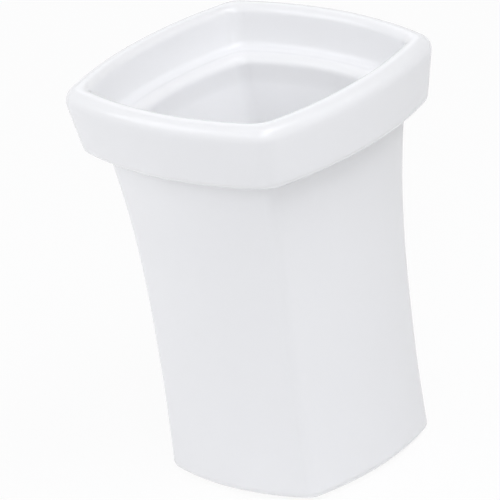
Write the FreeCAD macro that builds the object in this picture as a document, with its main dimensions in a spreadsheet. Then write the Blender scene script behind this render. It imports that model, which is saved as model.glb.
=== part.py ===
import FreeCAD
import Part
import Sketcher
import math
import os

# Bathroom tumbler: a waisted ceramic cup of bowed-square plan under a bold hollow collar.
# Millimetres, +Z up, z = 0 where the foot pads stand, the cup's axis on Z.

# Driving sizes, one cell of the sheet each
SIZES = [
    # Heights
    ("pad_projection", 0.8),
    ("body_height", 91.8),
    ("collar_height", 18.2),
    ("ledge_thickness", 7.0),
    ("floor_thickness", 6.0),
    # Body from the axis to the middle of a side at the foot, and what each section above loses or gains
    ("foot_half_width", 28.6),
    ("lower_draw_in", 0.3),
    ("waist_gain", 0.4),
    ("upper_gain", 1.3),
    ("neck_gain", 2.9),
    # Collar: how far its lower edge stands out from the neck, and its upper edge from the lower one
    ("collar_overhang", 5.0),
    ("collar_flare", 2.9),
    # Rise of a bowed side, as a share of the half width
    ("body_bow_share", 0.1533),
    ("collar_bow_share", 0.148),
    # Walls
    ("body_wall", 5.4),
    ("collar_wall", 6.5),
    # Corners in plan
    ("body_corner_radius", 5.0),
    ("body_inner_corner_radius", 4.5),
    ("collar_corner_radius", 7.5),
    ("collar_inner_corner_radius", 6.0),
    # Rolled rim, as shares of the collar's wall
    ("rim_outer_share", 0.54),
    ("rim_inner_share", 0.4),
    # Rolled lip and hollow of the ledge inside, as shares of its width
    ("ledge_lip_share", 0.52),
    ("ledge_hollow_share", 0.45),
    # Other rolled edges
    ("collar_lower_radius", 2.5),
    ("foot_edge_radius", 2.2),
    # Round between floor and wall, as a share of the inner corners in plan
    ("floor_corner_share", 0.85),
    # Underside
    ("foot_ring_width", 5.0),
    ("foot_recess_depth", 1.0),
    ("recess_corner_radius", 3.0),
    ("foot_ring_inner_radius", 0.4),
    # Joint between the body and the collar: the spigot takes a share of the body's wall
    ("spigot_share", 0.48),
    ("slip_thickness", 0.3),
    ("ledge_web", 0.4),
    # Foot pads
    ("pad_radius", 4.5),
    ("pad_setback", 4.5),
    ("pad_edge_radius", 0.5),
    # Distance that every cut runs past the face it leaves by
    ("overrun", 1.0),
]

# The body's sections and their levels, as shares of its height
SECTION_NAMES = ("foot", "lower", "waist", "upper", "neck")
LEVEL_SHARES = (0, 0.25, 0.5, 0.75, 1)

# Which way each pad lies from the axis, with the front towards -Y
PAD_SIDES = {
    "foot_pad_front_left": (-1, -1),
    "foot_pad_front_right": (1, -1),
    "foot_pad_rear_left": (-1, 1),
    "foot_pad_rear_right": (1, 1),
}

SIDES = range(4)
QUARTER_TURN = math.pi / 2
LEVEL_TOLERANCE = 1e-4

document = FreeCAD.newDocument("Tumbler")
sheet = document.addObject("Spreadsheet::Sheet", "Sizes")
for row, (alias, size) in enumerate(SIZES, start=1):
    sheet.set(f"A{row}", alias)
    sheet.set(f"B{row}", str(size))
    sheet.setAlias(f"B{row}", alias)
document.recompute()


def cell(alias):
    return f"Sizes.{alias}"


def number(expression):
    return float(sheet.evalExpression(expression))


FOOT_LEVEL = cell("pad_projection")
RECESS_LEVEL = f"({FOOT_LEVEL} + {cell('foot_recess_depth')})"
FLOOR_LEVEL = f"({FOOT_LEVEL} + {cell('floor_thickness')})"
SEAT_LEVEL = f"({FOOT_LEVEL} + {cell('body_height')})"
SLIP_LEVEL = f"({SEAT_LEVEL} + {cell('slip_thickness')})"
LEDGE_LEVEL = f"({SEAT_LEVEL} + {cell('ledge_thickness')})"
RIM_LEVEL = f"({SEAT_LEVEL} + {cell('collar_height')})"


def origin_plane(body, role):
    return next(feature for feature in body.Origin.OriginFeatures if feature.Role == role)


def new_body(name):
    body = document.addObject("PartDesign::Body", name)
    body.Label = name
    return body


def level_sketch(body, name, level):
    """A sketch across the axis at a level above the stand."""
    sketch = body.newObject("Sketcher::SketchObject", name)
    sketch.AttachmentSupport = [(origin_plane(body, "XY_Plane"), "")]
    sketch.MapMode = "FlatFace"
    sketch.setExpression("AttachmentOffset.Base.z", level)
    return sketch


def bind(sketch, constraint, name, expression):
    index = sketch.addConstraint(constraint)
    sketch.renameConstraint(index, name)
    sketch.setExpression(f"Constraints.{name}", expression)


def bowed_square(body, name, level, half_width, bow_share, corner_radius, inset="0"):
    """A square with four bowed sides and round corners, drawn inside its outline by the inset."""
    sketch = level_sketch(body, name, level)
    side_radius = f"{half_width} * ((1 - {bow_share})^2 + {bow_share}^2) / (2 * {bow_share})"
    setback = f"{side_radius} - {half_width}"
    drawn_radius = f"{side_radius} - ({inset})"

    setback_size = number(setback)
    side_size = number(drawn_radius)
    corner_size = number(corner_radius)
    reach = side_size - corner_size
    corner_centre = (math.sqrt(2 * reach ** 2 - setback_size ** 2) - setback_size) / 2
    swing = math.atan2(corner_centre, corner_centre + setback_size)

    axis = FreeCAD.Vector(0, 0, 1)
    for side in SIDES:
        turn = side * QUARTER_TURN
        spin = FreeCAD.Rotation(axis, math.degrees(turn))
        side_circle = Part.Circle(spin.multVec(FreeCAD.Vector(-setback_size, 0, 0)), axis, side_size)
        sketch.addGeometry(Part.ArcOfCircle(side_circle, turn - swing, turn + swing))
        centre = spin.multVec(FreeCAD.Vector(corner_centre, corner_centre, 0))
        corner_circle = Part.Circle(centre, axis, corner_size)
        sketch.addGeometry(Part.ArcOfCircle(corner_circle, turn + swing, turn + QUARTER_TURN - swing))

    arcs = 2 * len(SIDES)
    for arc in range(arcs):
        sketch.addConstraint(Sketcher.Constraint("Tangent", arc, 2, (arc + 1) % arcs, 1))
    for arc in range(2, arcs):
        sketch.addConstraint(Sketcher.Constraint("Equal", arc % 2, arc))
    for side in SIDES:
        arc = 2 * side
        sketch.addConstraint(Sketcher.Constraint("PointOnObject", arc, 3, -1 - side % 2))
        direction = "DistanceX" if side % 2 == 0 else "DistanceY"
        ends = (arc, 3, -1, 1) if side < 2 else (-1, 1, arc, 3)
        bind(sketch, Sketcher.Constraint(direction, *ends, setback_size), f"setback_{side}", setback)
    bind(sketch, Sketcher.Constraint("Radius", 0, side_size), "side_radius", drawn_radius)
    bind(sketch, Sketcher.Constraint("Radius", 1, corner_size), "corner_radius", corner_radius)
    return sketch


def body_outline(body, name, level, half_width, inset="0"):
    """The body's outside, or a line inside it by the inset."""
    corner_radius = f"{cell('body_corner_radius')} - ({inset})"
    return bowed_square(body, name, level, half_width, cell("body_bow_share"), corner_radius, inset)


def bore_outline(body, name, level, half_width):
    """The body's inside, one wall within its outside."""
    corner_radius = cell("body_inner_corner_radius")
    bow_share = cell("body_bow_share")
    return bowed_square(body, name, level, half_width, bow_share, corner_radius, cell("body_wall"))


def loft(body, kind, name, sketches):
    feature = body.newObject(f"PartDesign::{kind}", name)
    feature.Profile = sketches[0]
    feature.Sections = sketches[1:]
    return feature


def prism(body, kind, name, sketch, length, reverse=False):
    feature = body.newObject(f"PartDesign::{kind}", name)
    feature.Profile = sketch
    feature.Reversed = reverse
    feature.setExpression("Length", length)
    return feature


def flat_face(shape, level, upward):
    """The largest flat face at a level that looks up, or down."""
    height = number(level)
    found = []
    for face in shape.Faces:
        if not isinstance(face.Surface, Part.Plane):
            continue
        normal = face.normalAt(0, 0)
        at_level = abs(face.CenterOfMass.z - height) < LEVEL_TOLERANCE
        if at_level and (normal.z > 0) == upward and abs(normal.z) > 1 - LEVEL_TOLERANCE:
            found.append(face)
    return max(found, key=lambda face: face.Area)


def roll_edge(body, name, base, level, upward, outer, radius):
    """Rounds the outer or the inner edge of a flat face."""
    document.recompute()
    face = flat_face(base.Shape, level, upward)
    outer_edges = face.OuterWire.Edges
    chosen = []
    for index, edge in enumerate(base.Shape.Edges, start=1):
        on_face = any(edge.isSame(other) for other in face.Edges)
        on_outer = any(edge.isSame(other) for other in outer_edges)
        if on_face and on_outer == outer:
            chosen.append(f"Edge{index}")
    feature = body.newObject("PartDesign::Fillet", name)
    feature.Base = (base, chosen)
    feature.setExpression("Radius", radius)
    document.recompute()
    return feature


# Body: foot, waisted wall, floor and the spigot that carries the collar
FOOT = cell("foot_half_width")
LOWER = f"({FOOT} - {cell('lower_draw_in')})"
WAIST = f"({LOWER} + {cell('waist_gain')})"
UPPER = f"({WAIST} + {cell('upper_gain')})"
NECK = f"({UPPER} + {cell('neck_gain')})"
BODY_SECTIONS = list(zip(SECTION_NAMES, LEVEL_SHARES, (FOOT, LOWER, WAIST, UPPER, NECK)))
SPIGOT_INSET = f"{cell('body_wall')} * (1 - {cell('spigot_share')})"
REBATE_INSET = f"{SPIGOT_INSET} - {cell('slip_thickness')}"
FLOOR_CORNER = f"{cell('body_inner_corner_radius')} * {cell('floor_corner_share')}"

# The collar's ledge, from the mouth's wall in to the bore, and the joint under it
COLLAR_WALL = cell("collar_wall")
COLLAR_LOWER = f"({NECK} + {cell('collar_overhang')})"
COLLAR_UPPER = f"({COLLAR_LOWER} + {cell('collar_flare')})"
LEDGE_FLARE = f"{cell('collar_flare')} * {cell('ledge_thickness')} / {cell('collar_height')}"
COLLAR_AT_LEDGE = f"({COLLAR_LOWER} + {LEDGE_FLARE})"
LEDGE_WIDTH = f"({COLLAR_AT_LEDGE} - {COLLAR_WALL} - {NECK} + {cell('body_wall')})"
LEDGE_LIP = f"{LEDGE_WIDTH} * {cell('ledge_lip_share')}"
LEDGE_HOLLOW = f"{LEDGE_WIDTH} * {cell('ledge_hollow_share')}"
REBATE_DEPTH = f"({cell('ledge_thickness')} - {LEDGE_LIP} - {cell('ledge_web')})"
SPIGOT_HEIGHT = f"({REBATE_DEPTH} - {cell('slip_thickness')})"

tumbler_body = new_body("tumbler_body")
outside = []
for name, share, half_width in BODY_SECTIONS:
    level = f"{FOOT_LEVEL} + {cell('body_height')} * {share}"
    outside.append(body_outline(tumbler_body, f"outside_{name}", level, half_width))
loft(tumbler_body, "AdditiveLoft", "wall_outside", outside)
spigot_sketch = body_outline(tumbler_body, "spigot_outline", SEAT_LEVEL, NECK, SPIGOT_INSET)
prism(tumbler_body, "Pad", "spigot", spigot_sketch, SPIGOT_HEIGHT)
inside = []
for name, share, half_width in BODY_SECTIONS:
    level = f"{FOOT_LEVEL} + {cell('body_height')} * {share}" if share else FLOOR_LEVEL
    inside.append(bore_outline(tumbler_body, f"inside_{name}", level, half_width))
loft(tumbler_body, "SubtractiveLoft", "wall_inside", inside)
neck_sketch = bore_outline(tumbler_body, "neck_outline", SEAT_LEVEL, NECK)
prism(tumbler_body, "Pocket", "neck_bore", neck_sketch, f"{SPIGOT_HEIGHT} + {cell('overrun')}", reverse=True)
recess_sketch = bowed_square(tumbler_body, "recess_outline", FOOT_LEVEL, FOOT, cell("body_bow_share"),
                             cell("recess_corner_radius"), cell("foot_ring_width"))
recess = prism(tumbler_body, "Pocket", "foot_recess", recess_sketch, cell("foot_recess_depth"), reverse=True)
foot_edge = roll_edge(tumbler_body, "foot_edge", recess, FOOT_LEVEL, False, True, cell("foot_edge_radius"))
foot_lip = roll_edge(tumbler_body, "foot_lip", foot_edge, FOOT_LEVEL, False, False,
                     cell("foot_ring_inner_radius"))
roll_edge(tumbler_body, "floor_corner", foot_lip, FLOOR_LEVEL, True, True, FLOOR_CORNER)

# Collar: a hollow band with a rolled rim, a ledge inside and a flat seat under its overhang
COLLAR_BOW = cell("collar_bow_share")
RIM_OUTER = f"{COLLAR_WALL} * {cell('rim_outer_share')}"
RIM_INNER = f"{COLLAR_WALL} * {cell('rim_inner_share')}"


def collar_outline(name, level, half_width):
    corner = cell("collar_corner_radius")
    return bowed_square(rim_collar, name, level, half_width, COLLAR_BOW, corner)


def mouth_outline(name, level, half_width):
    corner = cell("collar_inner_corner_radius")
    return bowed_square(rim_collar, name, level, half_width, COLLAR_BOW, corner, COLLAR_WALL)


rim_collar = new_body("rim_collar")
loft(rim_collar, "AdditiveLoft", "collar_outside", [
    collar_outline("collar_lower_outline", SEAT_LEVEL, COLLAR_LOWER),
    collar_outline("collar_upper_outline", RIM_LEVEL, COLLAR_UPPER),
])
loft(rim_collar, "SubtractiveLoft", "collar_inside", [
    mouth_outline("mouth_lower_outline", LEDGE_LEVEL, COLLAR_AT_LEDGE),
    mouth_outline("mouth_upper_outline", RIM_LEVEL, COLLAR_UPPER),
])
ledge_sketch = bore_outline(rim_collar, "ledge_outline", SEAT_LEVEL, NECK)
prism(rim_collar, "Pocket", "ledge_bore", ledge_sketch,
      f"{cell('ledge_thickness')} + {cell('overrun')}", reverse=True)
shoulder_sketch = body_outline(rim_collar, "shoulder_outline", SEAT_LEVEL, NECK)
prism(rim_collar, "Pocket", "slip_seat", shoulder_sketch, cell("slip_thickness"), reverse=True)
rebate_sketch = body_outline(rim_collar, "rebate_outline", SEAT_LEVEL, NECK, REBATE_INSET)
rebate = prism(rim_collar, "Pocket", "spigot_rebate", rebate_sketch, REBATE_DEPTH, reverse=True)
lower_edge = roll_edge(rim_collar, "lower_edge", rebate, SEAT_LEVEL, False, True, cell("collar_lower_radius"))
ledge_hollow = roll_edge(rim_collar, "ledge_hollow", lower_edge, LEDGE_LEVEL, True, True, LEDGE_HOLLOW)
ledge_lip = roll_edge(rim_collar, "ledge_lip", ledge_hollow, LEDGE_LEVEL, True, False, LEDGE_LIP)
rim_outer = roll_edge(rim_collar, "rim_outer", ledge_lip, RIM_LEVEL, True, True, RIM_OUTER)
roll_edge(rim_collar, "rim_inner", rim_outer, RIM_LEVEL, True, False, RIM_INNER)

# Joining slip: the fired layer between the spigot and the collar
collar_slip = new_body("collar_slip_joint")
flange_sketch = body_outline(collar_slip, "flange_outline", SEAT_LEVEL, NECK)
prism(collar_slip, "Pad", "flange", flange_sketch, cell("slip_thickness"))
sleeve_sketch = body_outline(collar_slip, "sleeve_outline", SLIP_LEVEL, NECK, REBATE_INSET)
prism(collar_slip, "Pad", "sleeve", sleeve_sketch, SPIGOT_HEIGHT)
socket_sketch = body_outline(collar_slip, "socket_outline", SEAT_LEVEL, NECK, SPIGOT_INSET)
prism(collar_slip, "Pocket", "socket", socket_sketch, SPIGOT_HEIGHT, reverse=True)
opening_sketch = bore_outline(collar_slip, "opening_outline", SEAT_LEVEL, NECK)
prism(collar_slip, "Pocket", "opening", opening_sketch, f"{REBATE_DEPTH} + {cell('overrun')}", reverse=True)

# Foot pads: four soft discs bonded into the recess under the floor, set back from the foot ring
FOOT_CORNER = f"{FOOT} * (1 - {cell('body_bow_share')})"
PAD_OFFSET = f"({FOOT_CORNER} - {cell('foot_ring_width')} - {cell('pad_setback')})"
pads = []
for name, (across, along) in PAD_SIDES.items():
    pad = new_body(name)
    disc_sketch = level_sketch(pad, f"{name}_outline", "0")
    disc_size = number(cell("pad_radius"))
    disc_sketch.addGeometry(Part.Circle(FreeCAD.Vector(0, 0, 0), FreeCAD.Vector(0, 0, 1), disc_size))
    disc_sketch.addConstraint(Sketcher.Constraint("Coincident", 0, 3, -1, 1))
    bind(disc_sketch, Sketcher.Constraint("Radius", 0, disc_size), "pad_radius", cell("pad_radius"))
    disc = prism(pad, "Pad", f"{name}_disc", disc_sketch, RECESS_LEVEL)
    roll_edge(pad, f"{name}_edge", disc, "0", False, True, cell("pad_edge_radius"))
    pad.setExpression("Placement.Base.x", f"{across} * {PAD_OFFSET}")
    pad.setExpression("Placement.Base.y", f"{along} * {PAD_OFFSET}")
    pads.append(pad)

document.recompute()
for item in document.Objects:
    if "Invalid" in item.State or "Error" in item.State:
        raise RuntimeError(f"{item.Name} did not build: {item.State}")

os.makedirs("parts", exist_ok=True)
for node in [tumbler_body, rim_collar, collar_slip, *pads]:
    if node.Shape.isNull() or not node.Shape.isValid() or len(node.Shape.Solids) != 1:
        raise RuntimeError(f"{node.Label} is not one sound solid")
    node.Shape.exportStep(f"parts/{node.Label}.step")
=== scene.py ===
import bpy
import math
from mathutils import Matrix, Vector, noise


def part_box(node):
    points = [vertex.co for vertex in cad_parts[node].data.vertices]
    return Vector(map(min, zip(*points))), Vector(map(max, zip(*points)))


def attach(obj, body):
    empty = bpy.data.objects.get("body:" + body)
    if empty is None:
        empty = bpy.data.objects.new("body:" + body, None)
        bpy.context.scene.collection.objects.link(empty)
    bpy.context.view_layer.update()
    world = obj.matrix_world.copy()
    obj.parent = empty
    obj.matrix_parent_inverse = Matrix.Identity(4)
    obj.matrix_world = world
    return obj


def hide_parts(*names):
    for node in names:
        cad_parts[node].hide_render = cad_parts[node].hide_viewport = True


# A glazed ceramic bathroom tumbler on a pale floor, in metres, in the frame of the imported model.
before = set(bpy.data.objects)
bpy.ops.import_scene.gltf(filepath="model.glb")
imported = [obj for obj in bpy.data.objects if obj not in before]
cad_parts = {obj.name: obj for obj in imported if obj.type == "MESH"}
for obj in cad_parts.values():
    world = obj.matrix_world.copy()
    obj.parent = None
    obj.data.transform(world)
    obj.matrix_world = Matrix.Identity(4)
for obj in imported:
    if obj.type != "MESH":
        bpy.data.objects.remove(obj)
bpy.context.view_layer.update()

# Glaze that has run and settled: height and spread of its slow waves
WAVE_HEIGHT = 0.00006
WAVE_LENGTH = 0.016
WAVE_SEED = 5

# Levels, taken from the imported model, with room at the rim for the waves
FOOT_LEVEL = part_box("tumbler_body")[0].z
SEAT_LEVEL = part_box("rim_collar")[0].z
RIM_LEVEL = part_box("rim_collar")[1].z - WAVE_HEIGHT
SLIP_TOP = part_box("collar_slip_joint")[1].z
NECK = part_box("collar_slip_joint")[1].x
PAD_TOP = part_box("foot_pad_front_left")[1].z
BODY_HEIGHT = SEAT_LEVEL - FOOT_LEVEL
COLLAR_HEIGHT = RIM_LEVEL - SEAT_LEVEL

# Body, from the axis to the middle of a side at even steps of its height
WALL_HALF_WIDTHS = (0.0286, 0.0283, 0.0287, 0.0300, NECK)
BODY_BOW_SHARE = 0.1533
BODY_WALL = 0.0054
BODY_CORNER = 0.0050
BODY_INNER_CORNER = 0.0045
FLOOR_THICKNESS = 0.0060
FLOOR_CORNER = 0.0038
FOOT_EDGE = 0.0022
FOOT_RING = 0.0050
FOOT_LIP = 0.0004
RECESS_CORNER = 0.0030
RECESS_ROOT = 0.0004
SPIGOT_SHARE = 0.48
CREASE = 0.0009

# Collar, its outside a wave's height short of the solid's
COLLAR_OVERHANG = 0.00494
COLLAR_FLARE = 0.0029
COLLAR_BOW_SHARE = 0.148
COLLAR_WALL = 0.0065
COLLAR_CORNER = 0.0075
COLLAR_INNER_CORNER = 0.0060
COLLAR_LOWER_EDGE = 0.0025
LEDGE_THICKNESS = 0.0070
LEDGE_LIP = 0.0026
LEDGE_HOLLOW = 0.00226
RIM_OUTER_SHARE = 0.54
RIM_INNER_SHARE = 0.40
SLIP_THICKNESS = 0.0003
SLIP_CORNER = 0.0015

# How finely the surfaces are divided
SIDE_STEPS = 36
CORNER_STEPS = 16
ARC_STEPS = 10
RUN_STEP = 0.0016
SHARP_TURN = math.radians(40)


def bow_setback(half_width, bow_share):
    """How far behind the axis the centre of a bowed side lies."""
    return half_width * (((1 - bow_share) ** 2 + bow_share ** 2) / (2 * bow_share) - 1)


def wall_half_width(level):
    """The body's outside at a level: one smooth curve through its sections."""
    last = len(WALL_HALF_WIDTHS) - 1
    step = (level - FOOT_LEVEL) / BODY_HEIGHT * last
    total = 0
    for here, half_width in enumerate(WALL_HALF_WIDTHS):
        weight = 1
        for other in range(last + 1):
            if other != here:
                weight *= (step - other) / (here - other)
        total += half_width * weight
    return total


def collar_half_width(level):
    """The collar's outside at a level, before its edges are rolled."""
    return NECK + COLLAR_OVERHANG + COLLAR_FLARE * (level - SEAT_LEVEL) / COLLAR_HEIGHT


class Station:
    """A corner of a wall's profile: how far out, how high, the plan there and how it is rounded."""

    def __init__(self, out, level, setback, corner, rounding=0, zone="", depth=0):
        self.out = out
        self.level = level
        self.setback = setback
        self.corner = corner
        self.rounding = rounding
        self.zone = zone
        self.depth = depth

    def towards(self, other, share):
        """The station at a share of the way to another one."""
        def mixed(start, end):
            return start + (end - start) * share
        return Station(mixed(self.out, other.out), mixed(self.level, other.level),
                       mixed(self.setback, other.setback), mixed(self.corner, other.corner),
                       0, other.zone, mixed(self.depth, other.depth))

    def point(self):
        return Vector((self.out, self.level))


def rounded_corner(before, here, after):
    """The stations of an arc that replaces a corner of the profile.

    Glaze runs thin on an arc that turns outwards, and pools in one that turns inwards.
    """
    back = before.point() - here.point()
    ahead = after.point() - here.point()
    opening = back.angle(ahead)
    reach = here.rounding / math.tan(opening / 2)
    start = here.towards(before, reach / back.length)
    end = here.towards(after, reach / ahead.length)
    middle = (back.normalized() + ahead.normalized()).normalized()
    centre = here.point() + middle * (here.rounding / math.sin(opening / 2))
    first = start.point() - centre
    turn = first.angle_signed(end.point() - centre)
    arc = []
    for step in range(ARC_STEPS + 1):
        share = step / ARC_STEPS
        angle = -turn * share
        spun = Vector((first.x * math.cos(angle) - first.y * math.sin(angle),
                       first.x * math.sin(angle) + first.y * math.cos(angle)))
        station = start.towards(end, share)
        station.out, station.level = centre + spun
        station.corner = here.corner + station.out - here.out
        station.zone = here.zone
        station.depth = math.copysign(math.sin(math.pi * share), turn)
        arc.append(station)
    return arc


def rounded_profile(stations, closed):
    """Rounds a profile's corners and divides its straight runs."""
    count = len(stations)
    rounded = []
    for index, here in enumerate(stations):
        inner = closed or 0 < index < count - 1
        if here.rounding and inner:
            rounded.extend(rounded_corner(stations[index - 1], here, stations[(index + 1) % count]))
        else:
            rounded.append(here)
    profile = []
    pairs = list(zip(rounded, rounded[1:] + rounded[:1]))
    if not closed:
        pairs.pop()
    for here, after in pairs:
        pieces = max(1, math.ceil((after.point() - here.point()).length / RUN_STEP))
        profile.extend(here.towards(after, step / pieces) for step in range(pieces))
    if not closed:
        profile.append(rounded[-1])
    return profile


def plan_ring(station):
    """Points round a bowed square with round corners."""
    side_radius = station.out + station.setback
    reach = side_radius - station.corner
    corner_centre = (math.sqrt(2 * reach ** 2 - station.setback ** 2) - station.setback) / 2
    swing = math.atan2(corner_centre, corner_centre + station.setback)
    quarter = []
    for step in range(SIDE_STEPS):
        angle = swing * (2 * step / SIDE_STEPS - 1)
        quarter.append((side_radius * math.cos(angle) - station.setback, side_radius * math.sin(angle)))
    for step in range(CORNER_STEPS):
        angle = swing + (math.pi / 2 - 2 * swing) * step / CORNER_STEPS
        quarter.append((corner_centre + station.corner * math.cos(angle),
                        corner_centre + station.corner * math.sin(angle)))
    ring = list(quarter)
    other_quarters = 3
    for _ in range(other_quarters):
        quarter = [(-y, x) for x, y in quarter]
        ring.extend(quarter)
    return [Vector((x, y, station.level)) for x, y in ring]


def new_object(name, vertices, faces):
    mesh = bpy.data.meshes.new(name)
    mesh.from_pydata(vertices, [], faces)
    mesh.validate()
    mesh.shade_smooth()
    mesh.set_sharp_from_angle(angle=SHARP_TURN)
    piece = bpy.data.objects.new(name, mesh)
    bpy.context.scene.collection.objects.link(piece)
    return piece


def skin(name, profile, closed):
    """A wall swept round the plan. An open profile starts and ends flat, and is capped there."""
    rings = [plan_ring(station) for station in profile]
    around = len(rings[0])
    vertices = [point for ring in rings for point in ring]
    faces = []
    zones = []
    last = len(rings) if closed else len(rings) - 1
    for row in range(last):
        below = row * around
        above = (row + 1) % len(rings) * around
        for column in range(around):
            right = (column + 1) % around
            faces.append((below + column, below + right, above + right, above + column))
            zones.append(profile[row].zone)
    if not closed:
        for row, turned in ((0, True), (len(rings) - 1, False)):
            start = row * around
            centre = len(vertices)
            vertices.append(Vector((0, 0, profile[row].level)))
            for column in range(around):
                right = (column + 1) % around
                edge = (start + right, start + column) if turned else (start + column, start + right)
                faces.append((*edge, centre))
                zones.append(profile[row].zone)
    piece = new_object(name, vertices, faces)
    depths = [station.depth for station in profile for _ in range(around)]
    depths.extend([0] * (len(vertices) - len(depths)))
    piece.data.attributes.new("glaze_depth", "FLOAT", "POINT").data.foreach_set("value", depths)
    return piece, zones


def settle_glaze(piece):
    """Slow waves in the fired surface, the same for pieces that meet."""
    mesh = piece.data
    noise.seed_set(WAVE_SEED)
    for vertex in mesh.vertices:
        vertex.co += WAVE_HEIGHT * noise.noise_vector(vertex.co / WAVE_LENGTH)
    mesh.update()


# Plans that the pieces share
neck_setback = bow_setback(NECK, BODY_BOW_SHARE)
foot_setback = bow_setback(WALL_HALF_WIDTHS[0], BODY_BOW_SHARE)


def wall_stations(low, high, inset, corner, zone):
    """Stations up the body's wall, an inset in from its outside."""
    count = math.ceil((high - low) / RUN_STEP)
    stations = []
    for step in range(count + 1):
        level = low + (high - low) * step / count
        outside = wall_half_width(level)
        setback = bow_setback(outside, BODY_BOW_SHARE)
        stations.append(Station(outside - inset, level, setback, corner, 0, zone))
    return stations


def body_profile():
    """From the middle of the underside, out and up the wall, over the spigot and down to the floor."""
    foot = WALL_HALF_WIDTHS[0]
    recess_out = foot - FOOT_RING
    middle_share = 0.1
    spigot_inset = BODY_WALL * (1 - SPIGOT_SHARE)
    floor_level = FOOT_LEVEL + FLOOR_THICKNESS
    under = [
        Station(recess_out * middle_share, PAD_TOP, foot_setback * middle_share,
                RECESS_CORNER * middle_share, 0, "recess"),
        Station(recess_out, PAD_TOP, foot_setback, RECESS_CORNER, RECESS_ROOT, "recess"),
        Station(recess_out, FOOT_LEVEL, foot_setback, RECESS_CORNER, FOOT_LIP, "foot"),
        Station(foot - FOOT_EDGE, FOOT_LEVEL, foot_setback, BODY_CORNER - FOOT_EDGE, 0, "foot"),
        Station(foot, FOOT_LEVEL, foot_setback, BODY_CORNER, FOOT_EDGE, "glaze"),
    ]
    outside = wall_stations(FOOT_LEVEL + 2 * FOOT_EDGE, SEAT_LEVEL - 2 * CREASE, 0, BODY_CORNER, "glaze")
    crease_out = NECK + 2 * CREASE
    shoulder = [
        Station(NECK, SEAT_LEVEL, neck_setback, BODY_CORNER, CREASE, "glaze"),
        Station(crease_out, SEAT_LEVEL + SLIP_THICKNESS, neck_setback,
                BODY_CORNER + 2 * CREASE, 0, "glaze"),
        Station(NECK - spigot_inset, SEAT_LEVEL + SLIP_THICKNESS, neck_setback,
                BODY_CORNER - spigot_inset, 0, "glaze"),
        Station(NECK - spigot_inset, SLIP_TOP, neck_setback, BODY_CORNER - spigot_inset, 0, "glaze"),
        Station(NECK - BODY_WALL, SLIP_TOP, neck_setback, BODY_INNER_CORNER, 0, "glaze"),
    ]
    inside = wall_stations(floor_level + 2 * FLOOR_CORNER, SEAT_LEVEL, BODY_WALL, BODY_INNER_CORNER,
                           "glaze")
    inside.reverse()
    floor_out = wall_half_width(floor_level) - BODY_WALL
    floor_setback = bow_setback(wall_half_width(floor_level), BODY_BOW_SHARE)
    floor = [
        Station(floor_out, floor_level, floor_setback, BODY_INNER_CORNER, FLOOR_CORNER, "glaze"),
        Station(floor_out * middle_share, floor_level, floor_setback * middle_share,
                BODY_INNER_CORNER * middle_share, 0, "glaze"),
    ]
    return rounded_profile(under + outside + shoulder + inside + floor, closed=False)


def collar_profile():
    """Round the collar's section: seat, outer face, rim, mouth, ledge, bore and the rebate of its joint."""
    ledge_level = SEAT_LEVEL + LEDGE_THICKNESS
    rebate_inset = BODY_WALL * (1 - SPIGOT_SHARE) - SLIP_THICKNESS

    def outer(level, corner, inset, rounding):
        outside = collar_half_width(level)
        setback = bow_setback(outside, COLLAR_BOW_SHARE)
        return Station(outside - inset, level, setback, corner, rounding, "glaze")

    def inner(level, corner, inset, rounding):
        return Station(NECK - inset, level, neck_setback, corner, rounding, "glaze")

    return rounded_profile([
        inner(SEAT_LEVEL, BODY_CORNER, 0, 0),
        outer(SEAT_LEVEL, COLLAR_CORNER, 0, COLLAR_LOWER_EDGE),
        outer(RIM_LEVEL, COLLAR_CORNER, 0, COLLAR_WALL * RIM_OUTER_SHARE),
        outer(RIM_LEVEL, COLLAR_INNER_CORNER, COLLAR_WALL, COLLAR_WALL * RIM_INNER_SHARE),
        outer(ledge_level, COLLAR_INNER_CORNER, COLLAR_WALL, LEDGE_HOLLOW),
        inner(ledge_level, BODY_INNER_CORNER, BODY_WALL, LEDGE_LIP),
        inner(SLIP_TOP, BODY_INNER_CORNER, BODY_WALL, 0),
        inner(SLIP_TOP, BODY_CORNER - rebate_inset, rebate_inset, 0),
        inner(SEAT_LEVEL + SLIP_THICKNESS, BODY_CORNER - rebate_inset, rebate_inset, 0),
        inner(SEAT_LEVEL + SLIP_THICKNESS, BODY_CORNER, 0, 0),
    ], closed=True)


def slip_profile():
    """Round the joining slip's section, kept just under the glaze that covers it."""
    spigot_inset = BODY_WALL * (1 - SPIGOT_SHARE)
    rebate_inset = spigot_inset - SLIP_THICKNESS
    bore_inset = BODY_WALL - SLIP_THICKNESS
    spigot_top = SLIP_TOP - SLIP_THICKNESS

    def ring(inset, level):
        return Station(NECK - inset, level, neck_setback, max(BODY_CORNER - inset, SLIP_CORNER), 0, "slip")

    return rounded_profile([
        ring(spigot_inset, SEAT_LEVEL),
        ring(SLIP_THICKNESS, SEAT_LEVEL),
        ring(SLIP_THICKNESS, SEAT_LEVEL + SLIP_THICKNESS),
        ring(rebate_inset, SEAT_LEVEL + SLIP_THICKNESS),
        ring(rebate_inset, SLIP_TOP),
        ring(bore_inset, SLIP_TOP),
        ring(bore_inset, spigot_top),
        ring(spigot_inset, spigot_top),
    ], closed=True)


# Materials
GLAZE_THIN_COLOUR = (0.915, 0.915, 0.915, 1)
GLAZE_COLOUR = (0.92, 0.921, 0.926, 1)
GLAZE_POOLED_COLOUR = (0.912, 0.916, 0.926, 1)
BISQUE_COLOUR = (0.80, 0.74, 0.66, 1)
BISQUE_DARK_COLOUR = (0.70, 0.63, 0.55, 1)
SILICONE_COLOUR = (0.74, 0.75, 0.76, 1)
SILICONE_DARK_COLOUR = (0.62, 0.63, 0.65, 1)

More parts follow.
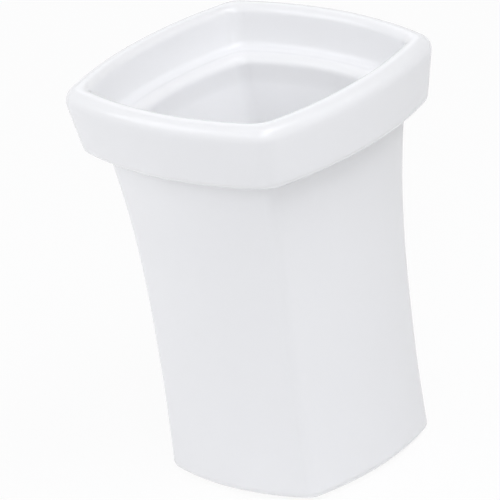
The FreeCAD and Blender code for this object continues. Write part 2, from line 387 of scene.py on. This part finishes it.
# Textures: how many cells to a metre, how many finer layers, and how strong these are
GLAZE_RUNS = dict(scale=60, detail=3)
GLAZE_SHEEN = dict(scale=140, detail=2)
GLAZE_PEEL = dict(scale=420, detail=2)
BISQUE_GRAIN = dict(scale=1400, detail=6, roughness=0.7)
SLIP_GRAIN = dict(scale=900, detail=5, roughness=0.6)
SILICONE_HAZE = dict(scale=700, detail=4, roughness=0.6)
SILICONE_GRAIN = dict(scale=2600, detail=3)

# Fine relief: its depth in metres and how strongly it shows
GLAZE_RELIEF = dict(distance=0.00004, strength=0.25)
BISQUE_RELIEF = dict(distance=0.00008, strength=0.6)
SLIP_RELIEF = dict(distance=0.00005, strength=0.5)
SILICONE_RELIEF = dict(distance=0.00003, strength=0.4)

# Ranges: the least and the greatest roughness, and where in a texture the tones start and end
GLAZE_ROUGHNESS = (0.12, 0.2)
BISQUE_ROUGHNESS = (0.75, 0.95)
SLIP_ROUGHNESS = (0.5, 0.8)
SILICONE_ROUGHNESS = (0.45, 0.65)
BISQUE_TONE_SPAN = (0.35, 0.65)
SOFT_TONE_SPAN = (0.3, 0.7)

# How far the settled depth and the runs shift the tone of the glaze
DEPTH_SHIFT = (-0.3, 0.3)
RUN_SHIFT = (0.2, 0.8)
THINNEST = -1


class Shader:
    """A material under construction, fed by the object's own coordinates."""

    def __init__(self, name):
        self.material = bpy.data.materials.new(name)
        self.material.use_nodes = True
        self.nodes = self.material.node_tree.nodes
        self.links = self.material.node_tree.links
        self.surface = self.nodes["Principled BSDF"]
        self.place = self.nodes.new("ShaderNodeTexCoord").outputs["Object"]

    def noise(self, scale, detail, roughness=0.5):
        texture = self.nodes.new("ShaderNodeTexNoise")
        texture.inputs["Scale"].default_value = scale
        texture.inputs["Detail"].default_value = detail
        texture.inputs["Roughness"].default_value = roughness
        self.links.new(self.place, texture.inputs["Vector"])
        return texture.outputs["Fac"]

    def ramp(self, value, low, high, low_colour, high_colour):
        ramp = self.nodes.new("ShaderNodeValToRGB")
        first, second = ramp.color_ramp.elements
        first.position = low
        first.color = low_colour
        second.position = high
        second.color = high_colour
        self.links.new(value, ramp.inputs["Fac"])
        return ramp.outputs["Color"]

    def remap(self, value, low, high, lowest=0):
        """A value between the lowest one and 1, spread from low to high."""
        remap = self.nodes.new("ShaderNodeMapRange")
        remap.inputs["From Min"].default_value = lowest
        remap.inputs["To Min"].default_value = low
        remap.inputs["To Max"].default_value = high
        self.links.new(value, remap.inputs["Value"])
        return remap.outputs["Result"]

    def bump(self, value, distance, strength):
        bump = self.nodes.new("ShaderNodeBump")
        bump.inputs["Distance"].default_value = distance
        bump.inputs["Strength"].default_value = strength
        self.links.new(value, bump.inputs["Height"])
        return bump.outputs["Normal"]

    def attribute(self, name):
        attribute = self.nodes.new("ShaderNodeAttribute")
        attribute.attribute_name = name
        return attribute.outputs["Fac"]

    def sum(self, first, second):
        total = self.nodes.new("ShaderNodeMath")
        self.links.new(first, total.inputs[0])
        self.links.new(second, total.inputs[1])
        return total.outputs[0]

    def three_tones(self, value, low, middle, high):
        """A colour for a low, a middling and a high value."""
        middle_position = 0.5
        tones = self.ramp(value, 0, 1, low, high)
        centre = tones.node.color_ramp.elements.new(middle_position)
        centre.color = middle
        return tones

    def set(self, socket, value):
        if isinstance(value, bpy.types.NodeSocket):
            self.links.new(value, self.surface.inputs[socket])
        else:
            self.surface.inputs[socket].default_value = value


def glaze_material():
    shader = Shader("white_glaze")
    depth = shader.remap(shader.attribute("glaze_depth"), *DEPTH_SHIFT, lowest=THINNEST)
    run = shader.sum(depth, shader.remap(shader.noise(**GLAZE_RUNS), *RUN_SHIFT))
    shader.set("Base Color", shader.three_tones(run, GLAZE_THIN_COLOUR, GLAZE_COLOUR, GLAZE_POOLED_COLOUR))
    shader.set("Roughness", shader.remap(shader.noise(**GLAZE_SHEEN), *GLAZE_ROUGHNESS))
    shader.set("Normal", shader.bump(shader.noise(**GLAZE_PEEL), **GLAZE_RELIEF))
    return shader.material


def bisque_material():
    shader = Shader("bare_foot_clay")
    grain = shader.noise(**BISQUE_GRAIN)
    shader.set("Base Color", shader.ramp(grain, *BISQUE_TONE_SPAN, BISQUE_DARK_COLOUR, BISQUE_COLOUR))
    shader.set("Roughness", shader.remap(grain, *BISQUE_ROUGHNESS))
    shader.set("Normal", shader.bump(grain, **BISQUE_RELIEF))
    return shader.material


def slip_material():
    shader = Shader("fired_slip")
    grain = shader.noise(**SLIP_GRAIN)
    shader.set("Base Color", shader.ramp(grain, *SOFT_TONE_SPAN, BISQUE_COLOUR, GLAZE_COLOUR))
    shader.set("Roughness", shader.remap(grain, *SLIP_ROUGHNESS))
    shader.set("Normal", shader.bump(grain, **SLIP_RELIEF))
    return shader.material


def silicone_material():
    shader = Shader("frosted_silicone")
    haze = shader.noise(**SILICONE_HAZE)
    shader.set("Base Color", shader.ramp(haze, *SOFT_TONE_SPAN, SILICONE_DARK_COLOUR, SILICONE_COLOUR))
    shader.set("Roughness", shader.remap(haze, *SILICONE_ROUGHNESS))
    shader.set("Normal", shader.bump(shader.noise(**SILICONE_GRAIN), **SILICONE_RELIEF))
    return shader.material


glaze = glaze_material()
bisque = bisque_material()

body_piece, body_zones = skin("cup_body", body_profile(), closed=False)
body_piece.data.materials.append(glaze)
body_piece.data.materials.append(bisque)
for face, zone in zip(body_piece.data.polygons, body_zones):
    face.material_index = 1 if zone == "foot" else 0
settle_glaze(body_piece)
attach(body_piece, "root")
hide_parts("tumbler_body")

collar_piece, _ = skin("cup_collar", collar_profile(), closed=True)
collar_piece.data.materials.append(glaze)
settle_glaze(collar_piece)
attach(collar_piece, "root")
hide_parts("rim_collar")

slip_piece, _ = skin("joining_slip", slip_profile(), closed=True)
slip_piece.data.materials.append(slip_material())
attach(slip_piece, "root")
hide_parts("collar_slip_joint")

# Foot pads: moulded silicone bumpers, turned from a profile
PAD_STEPS = 64
PAD_EDGE = 0.0005
PAD_GROOVE = 0.00025
silicone = silicone_material()


def pad_profile(radius, height):
    """Out from the middle of the sole, round its edge and up to the bonded flange."""
    dish_share, dish_edge_share, waist_share = 0.25, 0.38, 0.94
    waist_level_share, flange_level_share = 0.42, 0.68
    profile = [
        (radius * dish_share, PAD_GROOVE),
        (radius * dish_edge_share, 0),
        (radius - PAD_EDGE, 0),
    ]
    for step in range(1, ARC_STEPS):
        angle = math.pi / 2 * step / ARC_STEPS
        profile.append((radius - PAD_EDGE + PAD_EDGE * math.sin(angle),
                        PAD_EDGE - PAD_EDGE * math.cos(angle)))
    profile.append((radius * waist_share, height * waist_level_share))
    profile.append((radius, height * flange_level_share))
    profile.append((radius, height))
    return profile


def pad_piece(node):
    low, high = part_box(node)
    centre = (low + high) / 2
    radius = (high.x - low.x) / 2
    profile = pad_profile(radius, high.z - low.z)
    vertices = []
    faces = []
    for out, level in profile:
        for step in range(PAD_STEPS):
            angle = 2 * math.pi * step / PAD_STEPS
            vertices.append((centre.x + out * math.cos(angle), centre.y + out * math.sin(angle),
                             low.z + level))
    for row in range(len(profile) - 1):
        for step in range(PAD_STEPS):
            after = (step + 1) % PAD_STEPS
            faces.append((row * PAD_STEPS + step, row * PAD_STEPS + after,
                          (row + 1) * PAD_STEPS + after, (row + 1) * PAD_STEPS + step))
    top = (len(profile) - 1) * PAD_STEPS
    faces.append(tuple(reversed(range(PAD_STEPS))))
    faces.append(tuple(range(top, top + PAD_STEPS)))
    piece = new_object(node.replace("foot_pad", "bumper"), vertices, faces)
    piece.data.materials.append(silicone)
    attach(piece, "root")
    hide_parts(node)


for node in sorted(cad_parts):
    if node.startswith("foot_pad"):
        pad_piece(node)

# Stage: a white floor that keeps some of the shadow, and a white surround
FLOOR_SIZE = 4.0
FLOOR_LEVEL = -0.00005
FLOOR_COLOUR = (0.9, 0.9, 0.9, 1)
WHITE = (1, 1, 1, 1)
SHADOW_KEPT_SHARE = 0.08


def seen_share(nodes, links):
    """1 for a ray from the camera, off gloss or through glass, and 0 for the others."""
    path = nodes.new("ShaderNodeLightPath")
    seen = path.outputs["Is Camera Ray"]
    for kind in ("Is Glossy Ray", "Is Transmission Ray"):
        either = nodes.new("ShaderNodeMath")
        either.operation = "MAXIMUM"
        links.new(seen, either.inputs[0])
        links.new(path.outputs[kind], either.inputs[1])
        seen = either.outputs[0]
    return seen


def floor_material():
    material = bpy.data.materials.new("floor_white")
    material.use_nodes = True
    nodes = material.node_tree.nodes
    links = material.node_tree.links
    nodes.remove(nodes["Principled BSDF"])
    diffuse = nodes.new("ShaderNodeBsdfDiffuse")
    diffuse.inputs["Color"].default_value = FLOOR_COLOUR
    glow = nodes.new("ShaderNodeEmission")
    glow.inputs["Color"].default_value = WHITE
    share = nodes.new("ShaderNodeMath")
    share.operation = "MULTIPLY"
    share.inputs[1].default_value = 1 - SHADOW_KEPT_SHARE
    links.new(seen_share(nodes, links), share.inputs[0])
    mix = nodes.new("ShaderNodeMixShader")
    links.new(share.outputs[0], mix.inputs["Fac"])
    links.new(diffuse.outputs[0], mix.inputs[1])
    links.new(glow.outputs[0], mix.inputs[2])
    links.new(mix.outputs[0], nodes["Material Output"].inputs["Surface"])
    return material


half = FLOOR_SIZE / 2
floor_plan = ((-half, -half), (half, -half), (half, half), (-half, half))
floor_corners = [(x, y, FLOOR_LEVEL) for x, y in floor_plan]
floor = new_object("floor", floor_corners, [(0, 1, 2, 3)])
floor.data.materials.append(floor_material())

AMBIENT = 0.28


def white_surround():
    """White where it is seen, and an even soft light otherwise."""
    world = bpy.data.worlds.new("surround")
    bpy.context.scene.world = world
    world.use_nodes = True
    nodes = world.node_tree.nodes
    links = world.node_tree.links
    background = nodes["Background"]
    background.inputs["Color"].default_value = WHITE
    level = nodes.new("ShaderNodeMapRange")
    level.inputs["To Min"].default_value = AMBIENT
    level.inputs["To Max"].default_value = 1
    links.new(seen_share(nodes, links), level.inputs["Value"])
    links.new(level.outputs["Result"], background.inputs["Strength"])


white_surround()

# Camera, as the photograph was taken
CAMERA_AZIMUTH = math.radians(43.237)
CAMERA_ELEVATION = math.radians(23.005)
CAMERA_ROLL = math.radians(-8.106)
CAMERA_DISTANCE = 1.8543
AIM_RIGHT = 0.01352
AIM_DOWN = 0.05185
SENSOR_WIDTH = 36.0
FOCAL_LENGTH = 507.7


def camera_axes(azimuth, elevation, roll):
    """The directions to the right, up and backwards of a camera that looks at the axis."""
    right = Vector((math.cos(azimuth), math.sin(azimuth), 0))
    back = Vector((math.sin(azimuth) * math.cos(elevation), -math.cos(azimuth) * math.cos(elevation),
                   math.sin(elevation)))
    up = back.cross(right)
    return (right * math.cos(roll) + up * math.sin(roll),
            up * math.cos(roll) - right * math.sin(roll),
            back)


def place_camera():
    right, up, back = camera_axes(CAMERA_AZIMUTH, CAMERA_ELEVATION, CAMERA_ROLL)
    data = bpy.data.cameras.new("camera")
    data.sensor_width = SENSOR_WIDTH
    data.lens = FOCAL_LENGTH
    camera = bpy.data.objects.new("camera", data)
    bpy.context.scene.collection.objects.link(camera)
    foot = Vector((0, 0, FOOT_LEVEL))
    spot = foot + back * CAMERA_DISTANCE - right * AIM_RIGHT + up * AIM_DOWN
    turned = Matrix((right, up, back)).transposed().to_4x4()
    camera.matrix_world = Matrix.Translation(spot) @ turned
    bpy.context.scene.camera = camera


place_camera()

# Cool softboxes round the cup: turn from the camera and rise in degrees, and power in watts
SOFTBOXES = (
    (-120, 10, 2.7),
    (-90, 10, 0.82),
    (-90, 35, 1.84),
    (-60, 35, 0.92),
    (0, 35, 3.13),
    (30, 60, 2.95),
    (60, 60, 2.79),
    (90, 35, 0.83),
    (180, 35, 0.84),
)
SOFTBOX_DISTANCE = 1.2
SOFTBOX_WIDTH = 0.6
SOFTBOX_COLOUR = (0.95, 0.96, 1.0)

# Softboxes that are no higher than this fill in, and don't show in the gloss
LOW_FILL_RISE = 20
CUP_MIDDLE = Vector((0, 0, (FOOT_LEVEL + RIM_LEVEL) / 2))

for number, (turn, rise, power) in enumerate(SOFTBOXES, start=1):
    _, _, towards = camera_axes(CAMERA_AZIMUTH + math.radians(turn), math.radians(rise), 0)
    data = bpy.data.lights.new(f"softbox_{number}", "AREA")
    data.shape = "SQUARE"
    data.size = SOFTBOX_WIDTH
    data.energy = power
    data.color = SOFTBOX_COLOUR
    lamp = bpy.data.objects.new(data.name, data)
    bpy.context.scene.collection.objects.link(lamp)
    lamp.location = CUP_MIDDLE + towards * SOFTBOX_DISTANCE
    lamp.rotation_euler = (-towards).to_track_quat("-Z", "Y").to_euler()
    lamp.visible_glossy = rise > LOW_FILL_RISE

bpy.context.scene.view_settings.view_transform = "Standard"

# White walls pass light on many times before it fades
LIGHT_BOUNCES = 16
bpy.context.scene.cycles.max_bounces = LIGHT_BOUNCES
bpy.context.scene.cycles.diffuse_bounces = LIGHT_BOUNCES
